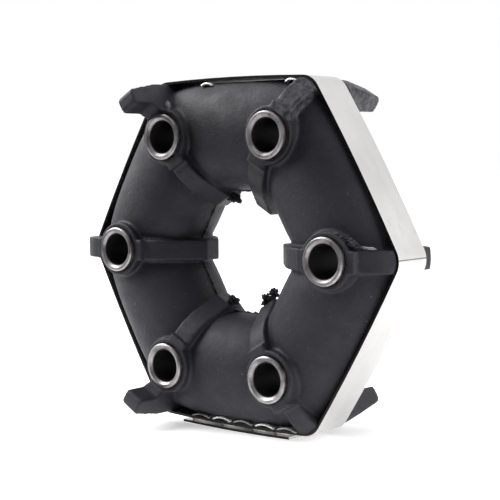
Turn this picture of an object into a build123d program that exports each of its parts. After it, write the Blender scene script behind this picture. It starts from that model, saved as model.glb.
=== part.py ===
"""Six-bolt rubber disc coupling for a propeller shaft, in millimetres.

The coupling's axis is Y. Its shown face is toward -Y, +Z is up, and the origin is the centre of the bolt circle.
Six barrel-shaped rubber blocks sit between six radial metal inserts that carry the bolt sleeves. A thin steel band
holds the ring in compression, and its ends hook together on the bottom flat, on which the coupling stands.
Sections that hold the axis are drawn with x as the radius and y as the depth toward the shown face.
"""
import os
from math import cos, copysign, pi, radians, sin, sqrt

from build123d import *

# Driving dimensions
bolt_circle_r = 50.0
bolt_r = 6.0
ring_half_depth = 18.0
station_count = 6

# Bolt sleeves
bore_r = bolt_r + 0.1
sleeve_wall = 2.4
sleeve_r = bore_r + sleeve_wall
sleeve_half_length = ring_half_depth + 4.1
sleeve_edge = 0.5
bore_edge = 1.1

# Steel band
band_flat_r = bolt_circle_r + 14.2
band_bow = 0.9
band_corner_round = 8.0
band_thickness = 0.9
band_front = 9.8
band_width = 17.2

# Closure under the bottom flat: one end laps the other, with tongues bent up from windows in the lap
lap_length = 52.0
lap_gap = 1.1
tongue_places = (-24.0, -9.0, 6.0, 17.0)
tongue_width = 9.0
window_length = 6.0

# Inserts: a radial plate, a boss round the sleeve, straps over the rubber, an inner tab and outer wings
plate_width = 8.0
boss_r = sleeve_r + 1.9
boss_half_depth = sleeve_half_length - 1.7
tab_tip_r = bolt_circle_r - 31.4
short_tab_tip_r = bolt_circle_r - 28.4
tab_half_depth = 3.4
block_inner_r = bolt_circle_r - 12.5
block_outer_r = bolt_circle_r + 12.0
strap_half_depth = ring_half_depth + 0.4
wing_thickness = 6.4
wing_lean = 4.8
long_wing = 32.0
short_wing = 15.0
stub_wing = 12.0
no_wing = 0.0

# Rubber blocks
block_inner_mid_r = bolt_circle_r - 26.7
block_outer_mid_r = band_flat_r + 1.6
block_inner_end_r = bolt_circle_r - 25.2
block_outer_end_r = bolt_circle_r + 22.0
block_end_half_depth = ring_half_depth - 1.6
block_squareness = 2.3

# Front wing, rear wing, inner tab's tip and whether the outer rib stands proud on the shown face,
# from the right-hand station up and round
insert_forms = [
    (no_wing, stub_wing, tab_tip_r, True),
    (no_wing, long_wing, tab_tip_r, True),
    (long_wing, no_wing, short_tab_tip_r, True),
    (short_wing, no_wing, tab_tip_r, True),
    (long_wing, no_wing, short_tab_tip_r, True),
    (no_wing, long_wing, short_tab_tip_r, False),
]


def turn(index):
    return 360.0 / station_count * index


def radial(angle, radius):
    return (radius * cos(radians(angle)), radius * sin(radians(angle)))


def station(angle, shift=0.0):
    """Plane that holds the axis at an angle; shift moves it sideways, counter-clockwise as seen from the front."""
    across = (cos(radians(angle)), 0, sin(radians(angle)))
    normal = (sin(radians(angle)), 0, -cos(radians(angle)))
    return Plane(origin=(0, 0, 0), x_dir=across, z_dir=normal).offset(-shift)


def band_outline(inset, depth):
    """Bowed hexagon at a depth: the outside of the band, or an outline parallel to it further in."""
    flat_r = band_flat_r - inset
    corner_r = flat_r / cos(pi / station_count)
    with BuildSketch(Plane.XZ.offset(depth)) as outline:
        with BuildLine():
            for index in range(station_count):
                start = radial(turn(index), corner_r)
                middle = radial(turn(index + 0.5), flat_r + band_bow)
                end = radial(turn(index + 1), corner_r)
                ThreePointArc(start, middle, end)
        make_face()
        fillet(outline.vertices(), band_corner_round - inset)
    return outline.sketch


def keep_inside_band():
    room = band_outline(band_thickness, -2 * long_wing)
    extrude(room, amount=4 * long_wing, mode=Mode.INTERSECT)


def sleeve_circle(angle, radius, depth):
    with BuildSketch(Plane.XZ.offset(depth)) as circle:
        with Locations(radial(angle, bolt_circle_r)):
            Circle(radius)
    return circle.sketch


def boss(angle, mode):
    extrude(sleeve_circle(angle, boss_r, 0), amount=boss_half_depth, both=True, mode=mode)


def barrel_section(plane, inner_r, outer_r, half_depth):
    """Squared oval between two radii, in two halves that meet at mid depth."""
    middle = (inner_r + outer_r) / 2
    half_width = (outer_r - inner_r) / 2
    corner = sqrt(0.5) ** (2 / block_squareness)
    with BuildSketch(plane) as section:
        with BuildLine():
            for side in (1, -1):
                Spline(
                    (middle + side * half_width, 0),
                    (middle + side * half_width * corner, side * half_depth * corner),
                    (middle, side * half_depth),
                    (middle - side * half_width * corner, side * half_depth * corner),
                    (middle - side * half_width, 0),
                    tangents=[(0, side), (0, -side)],
                )
        make_face()
    return section.sketch


def insert_side(side, wing, tip_r, proud):
    """One face of an insert's outline, from the inner tab to the outer end at mid depth."""
    outer_r = band_flat_r / cos(pi / station_count)
    Spline(
        (tip_r, side * tab_half_depth),
        (tip_r + (block_inner_r - tip_r) * 0.27, side * 9.0),
        (tip_r + (block_inner_r - tip_r) * 0.58, side * 15.0),
        (block_inner_r, side * strap_half_depth),
    )
    Line((block_inner_r, side * strap_half_depth), (block_inner_r, side * boss_half_depth))
    if wing == long_wing:
        wing_r = outer_r - wing_lean - 0.8
        Polyline(
            (block_inner_r, side * boss_half_depth),
            (block_outer_r - 2.0, side * boss_half_depth),
            (wing_r - wing_thickness, side * (boss_half_depth + 3.0)),
            (wing_r - wing_thickness, side * (wing - 1.0)),
            (wing_r - wing_thickness + 1.2, side * wing),
            (wing_r - 1.2, side * wing),
            (wing_r, side * (wing - 1.0)),
            (outer_r - 1.5, side * band_front),
            (outer_r, 0),
        )
        return
    shoulder = strap_half_depth if proud else block_end_half_depth - 1.5
    reach = max(wing, band_front)
    Polyline(
        (block_inner_r, side * boss_half_depth),
        (block_outer_r, side * boss_half_depth),
        (block_outer_r, side * shoulder),
    )
    Spline(
        (block_outer_r, side * shoulder),
        (block_outer_r + 5.0, side * (shoulder + reach) / 2 + side * 1.4),
        (outer_r - 1.9, side * reach),
    )
    Line((outer_r - 1.9, side * reach), (outer_r, 0))


os.makedirs("parts", exist_ok=True)

# Bolt sleeves: plain turned tubes, chamfered at both ends
for index in range(station_count):
    with BuildPart() as sleeve:
        extrude(sleeve_circle(turn(index), sleeve_r, 0), amount=sleeve_half_length, both=True)
        rims = sleeve.edges().filter_by(GeomType.CIRCLE)
        chamfer(rims, sleeve_edge)
        bore = sleeve_circle(turn(index), bore_r, 0)
        extrude(bore, amount=sleeve_half_length, both=True, mode=Mode.SUBTRACT)
        rims = sleeve.edges().filter_by(GeomType.CIRCLE).filter_by(lambda rim: rim.radius < bore_r + 0.1)
        chamfer(rims, bore_edge)
    sleeve.part.label = f"sleeve_{index + 1}"
    export_step(sleeve.part, f"parts/sleeve_{index + 1}.step")

# Inserts
for index, (front_wing, rear_wing, tip_r, proud) in enumerate(insert_forms):
    with BuildPart() as insert:
        with BuildSketch(station(turn(index))):
            with BuildLine():
                Line((tip_r, -tab_half_depth), (tip_r, tab_half_depth))
                insert_side(1, front_wing, tip_r, proud)
                insert_side(-1, rear_wing, tip_r, True)
            make_face()
        extrude(amount=plate_width / 2, both=True)
        boss(turn(index), Mode.ADD)
        seat = sleeve_circle(turn(index), sleeve_r, 0)
        extrude(seat, amount=sleeve_half_length, both=True, mode=Mode.SUBTRACT)
        keep_inside_band()
    insert.part.label = f"insert_{index + 1}"
    export_step(insert.part, f"parts/insert_{index + 1}.step")

# Rubber blocks: a barrel from one insert's side to the next, pinched at both ends and flat against the band
for index in range(station_count):
    first = turn(index)
    second = turn(index + 1)
    sections = []
    for plane in (station(first, plate_width / 2), station(second, -plate_width / 2)):
        section = barrel_section(plane, block_inner_end_r, block_outer_end_r, block_end_half_depth)
        sections.append(section)
    middle_plane = station((first + second) / 2)
    middle = barrel_section(middle_plane, block_inner_mid_r, block_outer_mid_r, ring_half_depth)
    sections.insert(1, middle)
    with BuildPart() as block:
        loft(sections)
        keep_inside_band()
        boss(first, Mode.SUBTRACT)
        boss(second, Mode.SUBTRACT)
    block.part.label = f"rubber_block_{index + 1}"
    export_step(block.part, f"parts/rubber_block_{index + 1}.step")

# Band, with its lapped and hooked closure
band_middle = band_front - band_width / 2
band_rear = band_front - band_width
below = band_flat_r + lap_gap
with BuildPart() as tongues:
    extrude(band_outline(-lap_gap - band_thickness / 2, band_rear), amount=band_width)
    extrude(band_outline(band_thickness / 2, band_rear), amount=band_width, mode=Mode.SUBTRACT)
    with Locations([(place - band_thickness / 2, -band_middle, -below) for place in tongue_places]):
        Box(band_thickness, tongue_width, below, mode=Mode.INTERSECT)
with BuildPart() as lap:
    extrude(band_outline(-lap_gap - band_thickness, band_rear), amount=band_width)
    extrude(band_outline(-lap_gap, band_rear), amount=band_width, mode=Mode.SUBTRACT)
    with Locations((0, -band_middle, -below)):
        Box(lap_length, 2 * band_width, below, mode=Mode.INTERSECT)
    with Locations([(place + window_length / 2, -band_middle, -below) for place in tongue_places]):
        Box(window_length, tongue_width + 2 * band_thickness, below, mode=Mode.SUBTRACT)
with BuildPart() as band:
    extrude(band_outline(0, band_rear), amount=band_width)
    extrude(band_outline(band_thickness, band_rear), amount=band_width, mode=Mode.SUBTRACT)
    add(lap.part)
    add(tongues.part)
band.part.label = "band"
export_step(band.part, "parts/band.step")
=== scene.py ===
"""Looks for the rubber disc coupling: moulded rubber skins, steel finishes, floor, lights and camera."""
import math

import bmesh
import bpy
from mathutils import Matrix, Vector, noise

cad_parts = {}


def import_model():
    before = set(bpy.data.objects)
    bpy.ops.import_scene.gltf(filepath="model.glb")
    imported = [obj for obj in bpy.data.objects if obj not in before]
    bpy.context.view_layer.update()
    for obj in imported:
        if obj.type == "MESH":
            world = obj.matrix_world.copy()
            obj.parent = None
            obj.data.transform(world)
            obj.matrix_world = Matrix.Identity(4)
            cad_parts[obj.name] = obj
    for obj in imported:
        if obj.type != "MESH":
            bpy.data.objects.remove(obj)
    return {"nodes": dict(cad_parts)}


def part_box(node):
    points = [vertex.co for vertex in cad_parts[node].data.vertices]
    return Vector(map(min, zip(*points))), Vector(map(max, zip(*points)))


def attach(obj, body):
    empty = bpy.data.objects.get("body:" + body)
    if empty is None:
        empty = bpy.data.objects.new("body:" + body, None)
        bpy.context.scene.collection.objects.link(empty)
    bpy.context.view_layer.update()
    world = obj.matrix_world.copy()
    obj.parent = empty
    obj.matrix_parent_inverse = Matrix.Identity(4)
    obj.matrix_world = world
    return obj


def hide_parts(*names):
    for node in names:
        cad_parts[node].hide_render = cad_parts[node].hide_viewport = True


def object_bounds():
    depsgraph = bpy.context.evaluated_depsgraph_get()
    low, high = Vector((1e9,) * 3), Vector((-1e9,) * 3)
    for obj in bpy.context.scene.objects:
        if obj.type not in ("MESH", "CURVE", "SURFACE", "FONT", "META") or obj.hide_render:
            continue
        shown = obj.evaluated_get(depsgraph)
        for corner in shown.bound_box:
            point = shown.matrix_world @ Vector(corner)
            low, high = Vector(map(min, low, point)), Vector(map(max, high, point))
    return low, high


# Lengths are in metres where MM multiplies them here, and otherwise in millimetres.
MM = 0.001
STATIONS = 6
BOLT_CIRCLE = 50 * MM
INSERT_HALF_WIDTH = 4 * MM
INSERT_FILLET = 0.4 * MM
BOSS_FILLET = 0.6 * MM
BOSS_R = 10.4 * MM
SLEEVE_R = 8.5 * MM
BORE_R = 6.1 * MM
VOXEL = 0.55 * MM
FILLET_PASSES = 5
HIDDEN_UNDER_SLEEVE = 0.35 * MM
HOLE_R = 23.3
HOLE_PINCH = 0.6
RING_R = 65.2
RING_PINCH = 3.6
RING_LIMIT = 63.25
RING_HALF_DEPTH = 18.2
DEPTH_PINCH = 2.6
RING_SQUARENESS = 2.15
RING_STEPS = 288
SECTION_STEPS = 96
FLASH_STEPS = 160
FLASH_HALF_LENGTH = 9.5
FLASH_HEIGHT = 0.8
TORN_INSERT = "insert_2"
TORN_FROM = 59 * MM
TONGUE_FRONT = 11.2
TONGUE_DEPTH = 1.6
TONGUE_COUNT = 5
TONGUE_REACH = 26
TONGUE_FILL = 0.8
TONGUE_LEVEL = 63
TONGUE_RISE = 0.9
TONGUE_THICKNESS = 0.6
TONGUE_STEPS = 12
CLOSURE_MIDDLE = 6
GLINT_REACH = 20
GLINT_WIDTH = 5
GLINT_LEVEL = 62.5
FRONT_DARK = (0.10, 0.10, 0.115)
WHITE_TOWARD = (-0.25, 1.0, 0.75)
DARK_BELOW = -0.35
WHITE_ABOVE = 0.6
FLOOR_FRONT = -140 * MM
FLOOR_SIZE = 6000 * MM
CAMERA_PLACE = Vector((304.2, -363.6, 36.3)) * MM
CAMERA_LENS = 90.65
CAMERA_ROLL = -0.37
CAMERA_SHIFT_Y = 0.003


def low_high(value):
    return [list(value[0]), list(value[1])]


# Materials

class Nodes:
    """A material's node tree, with a short way to add and join nodes."""

    def __init__(self, name):
        self.material = bpy.data.materials.new(name)
        self.material.use_nodes = True
        self.tree = self.material.node_tree
        self.shader = self.tree.nodes["Principled BSDF"]

    def add(self, kind, **values):
        node = self.tree.nodes.new("ShaderNode" + kind)
        for key, value in values.items():
            setattr(node, key, value)
        return node

    def join(self, start, end):
        self.tree.links.new(start, end)

    def value(self, operation, first, second=0.0):
        node = self.add("Math", operation=operation)
        for socket, source in zip(node.inputs, (first, second)):
            if isinstance(source, (int, float)):
                socket.default_value = source
            else:
                self.join(source, socket)
        return node.outputs[0]

    def noise(self, scale, detail=3.0, roughness=0.55, stretch=(1, 1, 1), distortion=0.0):
        place = self.add("TexCoord").outputs["Object"]
        mapping = self.add("Mapping")
        mapping.inputs["Scale"].default_value = stretch
        self.join(place, mapping.inputs["Vector"])
        node = self.add("TexNoise")
        node.inputs["Scale"].default_value = scale
        node.inputs["Detail"].default_value = detail
        node.inputs["Roughness"].default_value = roughness
        node.inputs["Distortion"].default_value = distortion
        self.join(mapping.outputs[0], node.inputs["Vector"])
        return node.outputs[0]

    def ramp(self, source, *stops):
        node = self.add("ValToRGB")
        points = node.color_ramp.elements
        while len(points) < len(stops):
            points.new(0.5)
        for point, (place, colour) in zip(points, stops):
            point.position = place
            point.color = (*colour, 1) if isinstance(colour, tuple) else (colour, colour, colour, 1)
        self.join(source, node.inputs[0])
        return node.outputs[0]

    def mix(self, share, first, second):
        node = self.add("MixRGB")
        for socket, source in zip(node.inputs, (share, first, second)):
            if isinstance(source, tuple):
                socket.default_value = (*source, 1)
            elif isinstance(source, (int, float)):
                socket.default_value = source
            else:
                self.join(source, socket)
        return node.outputs[0]

    def bump(self, height, distance, normal=None, strength=1.0):
        node = self.add("Bump")
        node.inputs["Distance"].default_value = distance
        node.inputs["Strength"].default_value = strength
        self.join(height, node.inputs["Height"])
        if normal is not None:
            self.join(normal, node.inputs["Normal"])
        return node.outputs[0]


def rubber(name, dark, light, rough_low, rough_high, grain, torn_from=None):
    """Moulded rubber: satin and bluish black, with cloudy bloom, pale scuffs, dust and a fine grain.

    torn_from is the radius outside which the skin is torn and pale.
    """
    m = Nodes(name)
    cloud = m.noise(26, 5, 0.6, distortion=0.6)
    patch = m.noise(120, 4, 0.65)
    fine = m.noise(620, 6, 0.78)
    tone = m.mix(m.ramp(cloud, (0.35, 0.0), (0.7, 1.0)), dark, light)
    scuff = m.ramp(m.noise(75, 9, 0.8, stretch=(1, 1, 2.5)), (0.57, 0.0), (0.74, 0.6))
    tone = m.mix(scuff, tone, (0.03, 0.03, 0.036))
    dust = m.ramp(m.noise(700, 1, 0.4), (0.775, 0.0), (0.79, 0.5))
    tone = m.mix(dust, tone, (0.10, 0.10, 0.11))
    if torn_from is not None:
        flat = m.add("VectorMath", operation="MULTIPLY")
        flat.inputs[1].default_value = (1, 0, 1)
        m.join(m.add("TexCoord").outputs["Object"], flat.inputs[0])
        length = m.add("VectorMath", operation="LENGTH")
        m.join(flat.outputs[0], length.inputs[0])
        outside = m.value("GREATER_THAN", length.outputs["Value"], torn_from)
        tear = m.ramp(m.noise(330, 6, 0.75), (0.42, 0.0), (0.62, 1.0))
        tone = m.mix(m.value("MULTIPLY", outside, tear), tone, (0.09, 0.09, 0.1))
    m.join(tone, m.shader.inputs["Base Color"])
    m.join(m.ramp(patch, (0.3, rough_low), (0.75, rough_high)), m.shader.inputs["Roughness"])
    m.shader.inputs["Specular IOR Level"].default_value = 0.42
    m.shader.inputs["Specular Tint"].default_value = (0.94, 0.94, 1.0, 1)
    normal = m.bump(patch, 0.3 * MM, strength=0.4)
    normal = m.bump(fine, grain, normal, 0.9)
    m.join(normal, m.shader.inputs["Normal"])
    return m.material


def band_steel():
    """Bright rolled strip: pale faces, dark cut edges, and painted shade: a dark line along the bend at the
    right-hand corner.
    """
    m = Nodes("bright_band_steel")
    cloud = m.noise(22, 4, 0.6)
    smear = m.noise(90, 6, 0.75, stretch=(0.5, 1.0, 0.5))
    streak = m.noise(260, 3, stretch=(0.04, 1.0, 0.04))
    tone = m.mix(m.ramp(cloud, (0.3, 0.0), (0.75, 1.0)), (0.60, 0.585, 0.58), (0.76, 0.75, 0.74))
    tone = m.mix(m.ramp(smear, (0.6, 0.0), (0.78, 0.5)), tone, (0.36, 0.35, 0.345))
    place = m.add("SeparateXYZ")
    m.join(m.add("TexCoord").outputs["Object"], place.inputs[0])
    # painted shade: a dark line along the bend at the right-hand corner, standing in for shade in the
    # crease
    painted_crease_shade = m.value("COMPARE", place.outputs["Z"], 0.6 * MM)
    painted_crease_shade.node.inputs[2].default_value = 0.22 * MM
    right = m.value("GREATER_THAN", place.outputs["X"], 1.2 * BOLT_CIRCLE)
    tone = m.mix(m.value("MULTIPLY", painted_crease_shade, right), tone, (0.25, 0.24, 0.23))
    normal = m.add("SeparateXYZ")
    m.join(m.add("NewGeometry").outputs["True Normal"], normal.inputs[0])
    edge = m.value("GREATER_THAN", m.value("ABSOLUTE", normal.outputs["Y"]), 0.7)
    m.join(m.mix(edge, tone, (0.025, 0.025, 0.024)), m.shader.inputs["Base Color"])
    m.shader.inputs["Metallic"].default_value = 1.0
    m.join(m.ramp(streak, (0.3, 0.28), (0.7, 0.46)), m.shader.inputs["Roughness"])
    m.join(m.bump(streak, 0.05 * MM, strength=0.4), m.shader.inputs["Normal"])
    return m.material


def sleeve_steel(name, centre):
    """Turned steel: concentric tool marks on the end faces, bright rims, and a bore painted near black,
    partly for oxide and partly as painted shade inside it.
    """
    m = Nodes(name)
    place = m.add("Mapping")
    place.inputs["Location"].default_value = (-centre.x, 0, -centre.z)
    m.join(m.add("TexCoord").outputs["Object"], place.inputs["Vector"])
    flat = m.add("VectorMath", operation="MULTIPLY")
    flat.inputs[1].default_value = (1, 0, 1)
    m.join(place.outputs[0], flat.inputs[0])
    length = m.add("VectorMath", operation="LENGTH")
    m.join(flat.outputs[0], length.inputs[0])
    radius = length.outputs["Value"]
    rings = m.value("SINE", m.value("MULTIPLY", radius, 2 * math.pi / (0.28 * MM)))
    stain = m.noise(160, 5, 0.7)
    tone = m.mix(m.ramp(stain, (0.35, 0.0), (0.7, 1.0)), (0.20, 0.185, 0.19), (0.50, 0.475, 0.475))
    # bore painted near black and not metallic: partly oxide, partly painted shade in the hollow
    bore = m.value("LESS_THAN", radius, BORE_R + 0.25 * MM)
    m.join(m.mix(bore, tone, (0.012, 0.012, 0.012)), m.shader.inputs["Base Color"])
    m.join(m.value("SUBTRACT", 1.0, bore), m.shader.inputs["Metallic"])
    m.join(m.ramp(stain, (0.3, 0.3), (0.7, 0.45)), m.shader.inputs["Roughness"])
    m.join(m.bump(rings, 0.02 * MM, strength=0.5), m.shader.inputs["Normal"])
    return m.material


def dress(node, material):
    for slot in frame["nodes"][node].material_slots:
        slot.material = material


# Moulded rubber skins

def station_offsets(point):
    """Nearest station's index, and the distances from its plane and from its sleeve's axis."""
    angle = math.atan2(point.z, point.x)
    index = round(angle / (2 * math.pi / STATIONS)) % STATIONS
    turn = index * 2 * math.pi / STATIONS
    across = Vector((math.cos(turn), math.sin(turn)))
    flat = Vector((point.x, point.z))
    radius = flat.dot(across)
    sideways = flat.dot(Vector((-across.y, across.x)))
    return index, sideways, math.hypot(radius - BOLT_CIRCLE, sideways)


def block_point(angle, along):
    """Point of the rubber ring's surface: six straight barrels that narrow toward the inserts."""
    sector = 2 * math.pi / STATIONS
    from_middle = (angle % sector) - sector / 2
    pinch = abs(2 * from_middle / sector) ** 3
    inner = (HOLE_R + HOLE_PINCH * pinch) / math.cos(from_middle)
    outer = (RING_R - RING_PINCH * pinch) / math.cos(from_middle)
    up = math.sin(along)
    out = math.cos(along)
    squared = [math.copysign(abs(part) ** (2 / RING_SQUARENESS), part) for part in (out, up)]
    radius = (inner + outer) / 2 + (outer - inner) / 2 * squared[0]
    radius = min(radius, RING_LIMIT / math.cos(from_middle))
    depth = (RING_HALF_DEPTH - DEPTH_PINCH * pinch) * squared[1]
    return Vector((radius * math.cos(angle), -depth, radius * math.sin(angle))) * MM


def ring_of_blocks(work):
    rings = []
    for step in range(RING_STEPS):
        angle = 2 * math.pi * step / RING_STEPS
        turns = [2 * math.pi * i / SECTION_STEPS for i in range(SECTION_STEPS)]
        rings.append([work.verts.new(block_point(angle, turn)) for turn in turns])
    for i, ring in enumerate(rings):
        after = rings[(i + 1) % RING_STEPS]
        for j in range(SECTION_STEPS):
            k = (j + 1) % SECTION_STEPS
            work.faces.new((ring[j], ring[k], after[k], after[j]))
    bmesh.ops.recalc_face_normals(work, faces=work.faces)


def moulded_mesh():
    """One smooth mesh round the rubber blocks and the inserts, with small fillets where they meet."""
    work = bmesh.new()
    ring_of_blocks(work)
    for number in range(1, STATIONS + 1):
        work.from_mesh(frame["nodes"][f"insert_{number}"].data)
    mesh = bpy.data.meshes.new("moulding")
    work.to_mesh(mesh)
    work.free()
    piece = bpy.data.objects.new("moulding", mesh)
    bpy.context.collection.objects.link(piece)
    remesh = piece.modifiers.new("remesh", "REMESH")
    remesh.mode = "VOXEL"
    remesh.voxel_size = VOXEL
    smooth = piece.modifiers.new("smooth", "SMOOTH")
    smooth.factor = 0.5
    smooth.iterations = FILLET_PASSES
    shape = piece.evaluated_get(bpy.context.evaluated_depsgraph_get())
    result = bpy.data.meshes.new_from_object(shape)
    bpy.data.objects.remove(piece)
    return result


def split_skins(mesh):
    """Faces of the moulding by the CAD node that they belong to, without those hidden under the sleeves."""
    parts = {}
    for face in mesh.polygons:
        index, sideways, from_axis = station_offsets(face.center)
        if from_axis < SLEEVE_R - HIDDEN_UNDER_SLEEVE:
            continue
        if abs(sideways) < INSERT_HALF_WIDTH + INSERT_FILLET or from_axis < BOSS_R + BOSS_FILLET:
            name = f"insert_{index + 1}"
        else:
            before = index if sideways > 0 else (index - 1) % STATIONS
            name = f"rubber_block_{before + 1}"
        parts.setdefault(name, []).append(face.index)
    return parts


def skin(name, mesh, faces, material):
    corners = sorted({v for f in faces for v in mesh.polygons[f].vertices})
    order = {v: i for i, v in enumerate(corners)}
    points = [mesh.vertices[v].co for v in corners]
    rings = [[order[v] for v in mesh.polygons[f].vertices] for f in faces]
    own = bpy.data.meshes.new(name + "_skin")
    own.from_pydata(points, [], rings)
    own.shade_smooth()
    own.normals_split_custom_set_from_vertices([mesh.vertices[v].normal for v in corners])
    own.materials.append(material)
    piece = bpy.data.objects.new(name + "_skin", own)
    bpy.context.collection.objects.link(piece)
    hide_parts(name)
    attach(piece, "root")


def rubber_skins():
    mesh = moulded_mesh()
    block = rubber(
        "block_rubber_skin", (0.007, 0.007, 0.010), (0.02, 0.02, 0.026), 0.5, 0.7, 0.3 * MM
    )
    ribs = rubber(
        "insert_rubber_skin", (0.009, 0.009, 0.012), (0.026, 0.026, 0.033), 0.46, 0.66, 0.3 * MM
    )
    torn = rubber(
        "torn_insert_rubber_skin",
        (0.005, 0.005, 0.006), (0.012, 0.012, 0.015), 0.45, 0.6, 0.2 * MM, TORN_FROM,
    )
    for name, faces in split_skins(mesh).items():
        is_insert = name.startswith("insert_")
        finish = (torn if name == TORN_INSERT else ribs) if is_insert else block
        skin(name, mesh, faces, finish)
    moulding_details(ribs)


# Torn rubber, moulding flash and the band's closure, which the solids leave plain

def place_at(station, radius, sideways, depth):
    """Point at a station counted from the right, with its depth toward the shown face."""
    turn = station * 2 * math.pi / STATIONS
    x = radius * math.cos(turn) - sideways * math.sin(turn)
    z = radius * math.sin(turn) + sideways * math.cos(turn)
    return Vector((x, -depth, z)) * MM


def finish_piece(name, work, material):
    mesh = bpy.data.meshes.new(name)
    work.to_mesh(mesh)
    work.free()
    mesh.shade_smooth()
    mesh.materials.append(material)
    piece = bpy.data.objects.new(name, mesh)
    bpy.context.collection.objects.link(piece)
    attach(piece, "root")


def torn_lump(name, centre, half_sizes, material, turn=0.0, ragged=0.45):
    """Small irregular lump: a ball pulled out of shape by noise."""
    work = bmesh.new()
    bmesh.ops.create_icosphere(work, subdivisions=5, radius=1.0)
    shape = Matrix.Translation(centre) @ Matrix.Rotation(turn, 4, "Y")
    for vert in work.verts:
        rough = noise.fractal(vert.co * 1.7 + centre * 900, 0.8, 2.1, 4)
        point = vert.co * (1 + ragged * rough)
        vert.co = shape @ Vector([point[i] * half_sizes[i] * MM for i in range(3)])
    finish_piece(name, work, material)


def flash_line(name, block, material):
    """Ragged fin of flash along the parting line, on the side of a rubber block that faces the centre."""
    work = bmesh.new()
    rows = []
    for step in range(FLASH_STEPS + 1):
        along = (2 * step / FLASH_STEPS - 1) * FLASH_HALF_LENGTH
        tear = noise.fractal(Vector((along * 0.9, block * 7.3, 0)), 0.7, 2.2, 5)
        height = FLASH_HEIGHT * max(0.15, 0.6 + 0.9 * tear)
        row = []
        for radius, half in ((HOLE_R + 0.6, 0.3), (HOLE_R - height, 0.1)):
            for side in (half, -half):
                row.append(work.verts.new(place_at(block + 0.5, radius, along, side + 0.25 * tear)))
        rows.append(row)
    for first, second in zip(rows, rows[1:]):
        for a, b in ((0, 2), (2, 3), (3, 1)):
            work.faces.new((first[a], first[b], second[b], second[a]))
    finish_piece(name, work, material)


def edge_plate(name, outline, depth, material):
    """Thin steel tongue seen on edge: an outline in X and Z, drawn back from a depth."""
    work = bmesh.new()
    front = [work.verts.new((x * MM, -depth * MM, z * MM)) for x, z in outline]
    back = [work.verts.new((x * MM, -(depth - TONGUE_DEPTH) * MM, z * MM)) for x, z in outline]
    work.faces.new(front)
    for i in range(len(outline)):
        j = (i + 1) % len(outline)
        work.faces.new((front[i], back[i], back[j], front[j]))
    bmesh.ops.recalc_face_normals(work, faces=work.faces)
    finish_piece(name, work, material)


def plain(name, low, high, metallic, roughness, scale=400):
    m = Nodes(name)
    m.join(m.mix(m.noise(scale, 4, 0.6), low, high), m.shader.inputs["Base Color"])
    m.shader.inputs["Metallic"].default_value = metallic
    shine = m.ramp(m.noise(scale * 2), (0.3, roughness), (0.7, roughness + 0.15))
    m.join(shine, m.shader.inputs["Roughness"])
    m.join(m.bump(m.noise(scale * 3, 3), 0.1 * MM, strength=0.5), m.shader.inputs["Normal"])
    return m.material


def moulding_details(ribs):
    # pale finish for a pale streak on rib 1, and for a painted glint on wing 3 made as a small pale lump
    pale_streak_and_glint = plain("pale_streak_and_painted_glint", (0.20, 0.20, 0.24), (0.55, 0.55, 0.62), 0.0, 0.45)
    torn_lump("boss_1_flash_lump", place_at(0, 54.0, 8.6, 18.6), (4.2, 1.6, 1.5), ribs, turn=0.25)
    torn_lump("boss_1_flash_lump_outer", place_at(0, 59.5, 6.6, 17.6), (3.0, 1.6, 1.2), ribs, turn=0.45)
    torn_lump("rib_1_pale_streak", place_at(0, 64.0, 4.9, 15.6), (3.6, 0.5, 0.45), pale_streak_and_glint, turn=0.05)
    torn_lump("wing_3_painted_glint", place_at(2, 60.8, -4.6, 16.4), (1.1, 0.7, 1.6), pale_streak_and_glint)
    torn_lump("tab_6_torn_end", place_at(5, 20.4, -1.2, 0.5), (1.9, 2.2, 2.4), ribs, ragged=0.7)
    torn_lump("tab_6_torn_knob", place_at(5, 18.9, 1.6, -1.0), (1.7, 1.4, 1.5), ribs, ragged=0.8)
    torn_lump("tab_3_torn_end", place_at(2, 21.9, -3.2, 0.0), (3.2, 2.2, 1.5), ribs, turn=0.5, ragged=0.6)
    torn_lump("tab_5_torn_end", place_at(4, 21.6, 2.2, 0.0), (3.0, 2.2, 1.8), ribs, turn=-0.6, ragged=0.6)
    for block in range(STATIONS):
        flash_line(f"parting_flash_{block + 1}", block, ribs)


def bow(start, width, level):
    """Outline of a thin strip that bows upward over its width."""
    steps = [i / TONGUE_STEPS for i in range(TONGUE_STEPS + 1)]
    top = [(start + width * t, level + TONGUE_RISE * math.sin(math.pi * t)) for t in steps]
    return top + [(x, z - TONGUE_THICKNESS) for x, z in reversed(top)]


def closure_details():
    """Evenly spaced tongues at the lap under the bottom flat, painted pale and grey in turn as highlights,
    and two painted glints inside the top flat.
    """
    # painted highlights: pale steel on every second tongue and on both glints, grey steel on the other
    # tongues, where light shows at the lap
    bright = plain("painted_highlight_steel", (0.75, 0.75, 0.73), (0.95, 0.95, 0.93), 0.6, 0.35)
    dull = plain("painted_grey_highlight_steel", (0.22, 0.21, 0.20), (0.42, 0.41, 0.39), 0.7, 0.4)
    pitch = 2 * TONGUE_REACH / TONGUE_COUNT
    for number in range(TONGUE_COUNT):
        start = CLOSURE_MIDDLE - TONGUE_REACH + number * pitch
        outline = bow(start, TONGUE_FILL * pitch, -TONGUE_LEVEL)
        finish = bright if number % 2 else dull
        edge_plate(f"closure_tongue_{number + 1}", outline, TONGUE_FRONT, finish)
    for number, side in enumerate((-1, 1), start=1):
        outline = bow(CLOSURE_MIDDLE + side * GLINT_REACH, GLINT_WIDTH, GLINT_LEVEL)
        edge_plate(f"band_glint_{number}", outline, TONGUE_FRONT, bright)


# Stage

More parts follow.
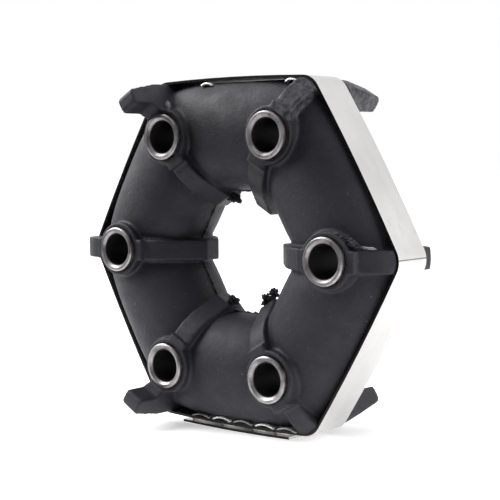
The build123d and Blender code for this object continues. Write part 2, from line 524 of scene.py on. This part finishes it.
def floor(level):
    """White paper, cut in front of the object so that it lights the lower blocks less."""
    mesh = bpy.data.meshes.new("floor")
    left, right, front, back = -FLOOR_SIZE, FLOOR_SIZE, FLOOR_FRONT, FLOOR_SIZE
    corners = [(left, front, level), (right, front, level), (right, back, level), (left, back, level)]
    mesh.from_pydata(corners, [], [(0, 1, 2, 3)])
    piece = bpy.data.objects.new("floor", mesh)
    bpy.context.collection.objects.link(piece)
    m = Nodes("white_paper")
    m.join(m.ramp(m.noise(3), (0.3, 0.94), (0.7, 0.96)), m.shader.inputs["Base Color"])
    m.shader.inputs["Roughness"].default_value = 0.8
    m.shader.inputs["Specular IOR Level"].default_value = 0.1
    m.shader.inputs["Emission Color"].default_value = (1, 1, 1, 1)
    m.shader.inputs["Emission Strength"].default_value = 0.4
    mesh.materials.append(m.material)


def area_light(name, place, size, power):
    """Rectangular light aimed at the object's centre."""
    light = bpy.data.lights.new(name, "AREA")
    light.shape = "RECTANGLE"
    light.size, light.size_y = size
    light.energy = power
    lamp = bpy.data.objects.new(name, light)
    lamp.location = place
    lamp.rotation_euler = (-Vector(place)).to_track_quat("-Z", "Y").to_euler()
    bpy.context.collection.objects.link(lamp)


def world():
    """White behind and above the object, dark in front of and below it."""
    sky = bpy.data.worlds.new("studio_surround")
    sky.use_nodes = True
    tree = sky.node_tree
    place = tree.nodes.new("ShaderNodeTexCoord")
    toward = tree.nodes.new("ShaderNodeVectorMath")
    toward.operation = "DOT_PRODUCT"
    toward.inputs[1].default_value = WHITE_TOWARD
    spread = tree.nodes.new("ShaderNodeMapRange")
    spread.inputs["From Min"].default_value = DARK_BELOW
    spread.inputs["From Max"].default_value = WHITE_ABOVE
    shade = tree.nodes.new("ShaderNodeMixRGB")
    shade.inputs[1].default_value = (*FRONT_DARK, 1)
    shade.inputs[2].default_value = (1, 1, 1, 1)
    tree.links.new(place.outputs["Generated"], toward.inputs[0])
    tree.links.new(toward.outputs["Value"], spread.inputs["Value"])
    tree.links.new(spread.outputs[0], shade.inputs[0])
    tree.links.new(shade.outputs[0], tree.nodes["Background"].inputs["Color"])
    bpy.context.scene.world = sky


def camera():
    view = bpy.data.cameras.new("camera")
    view.lens = CAMERA_LENS
    view.sensor_width = 36
    view.shift_y = CAMERA_SHIFT_Y
    view.clip_start = 0.01
    eye = bpy.data.objects.new("camera", view)
    eye.location = CAMERA_PLACE
    look = (-eye.location).to_track_quat("-Z", "Y").to_matrix()
    roll = Matrix.Rotation(math.radians(CAMERA_ROLL), 3, "Z")
    eye.rotation_euler = (look @ roll).to_euler()
    bpy.context.collection.objects.link(eye)
    bpy.context.scene.camera = eye


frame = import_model()
before = low_high(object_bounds())

rubber_skins()
dress("band", band_steel())
closure_details()
for number in range(1, STATIONS + 1):
    low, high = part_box(f"sleeve_{number}")
    middle = (Vector(low) + Vector(high)) / 2
    dress(f"sleeve_{number}", sleeve_steel(f"turned_steel_{number}", middle))

floor(before[0][2])
world()
area_light("key_above_left", (-0.8, -0.3, 0.6), (0.7, 0.7), 14)
area_light("fill_right", (0.9, 0.1, 0.3), (0.6, 0.9), 4)
camera()
bpy.context.scene.view_settings.view_transform = "Standard"
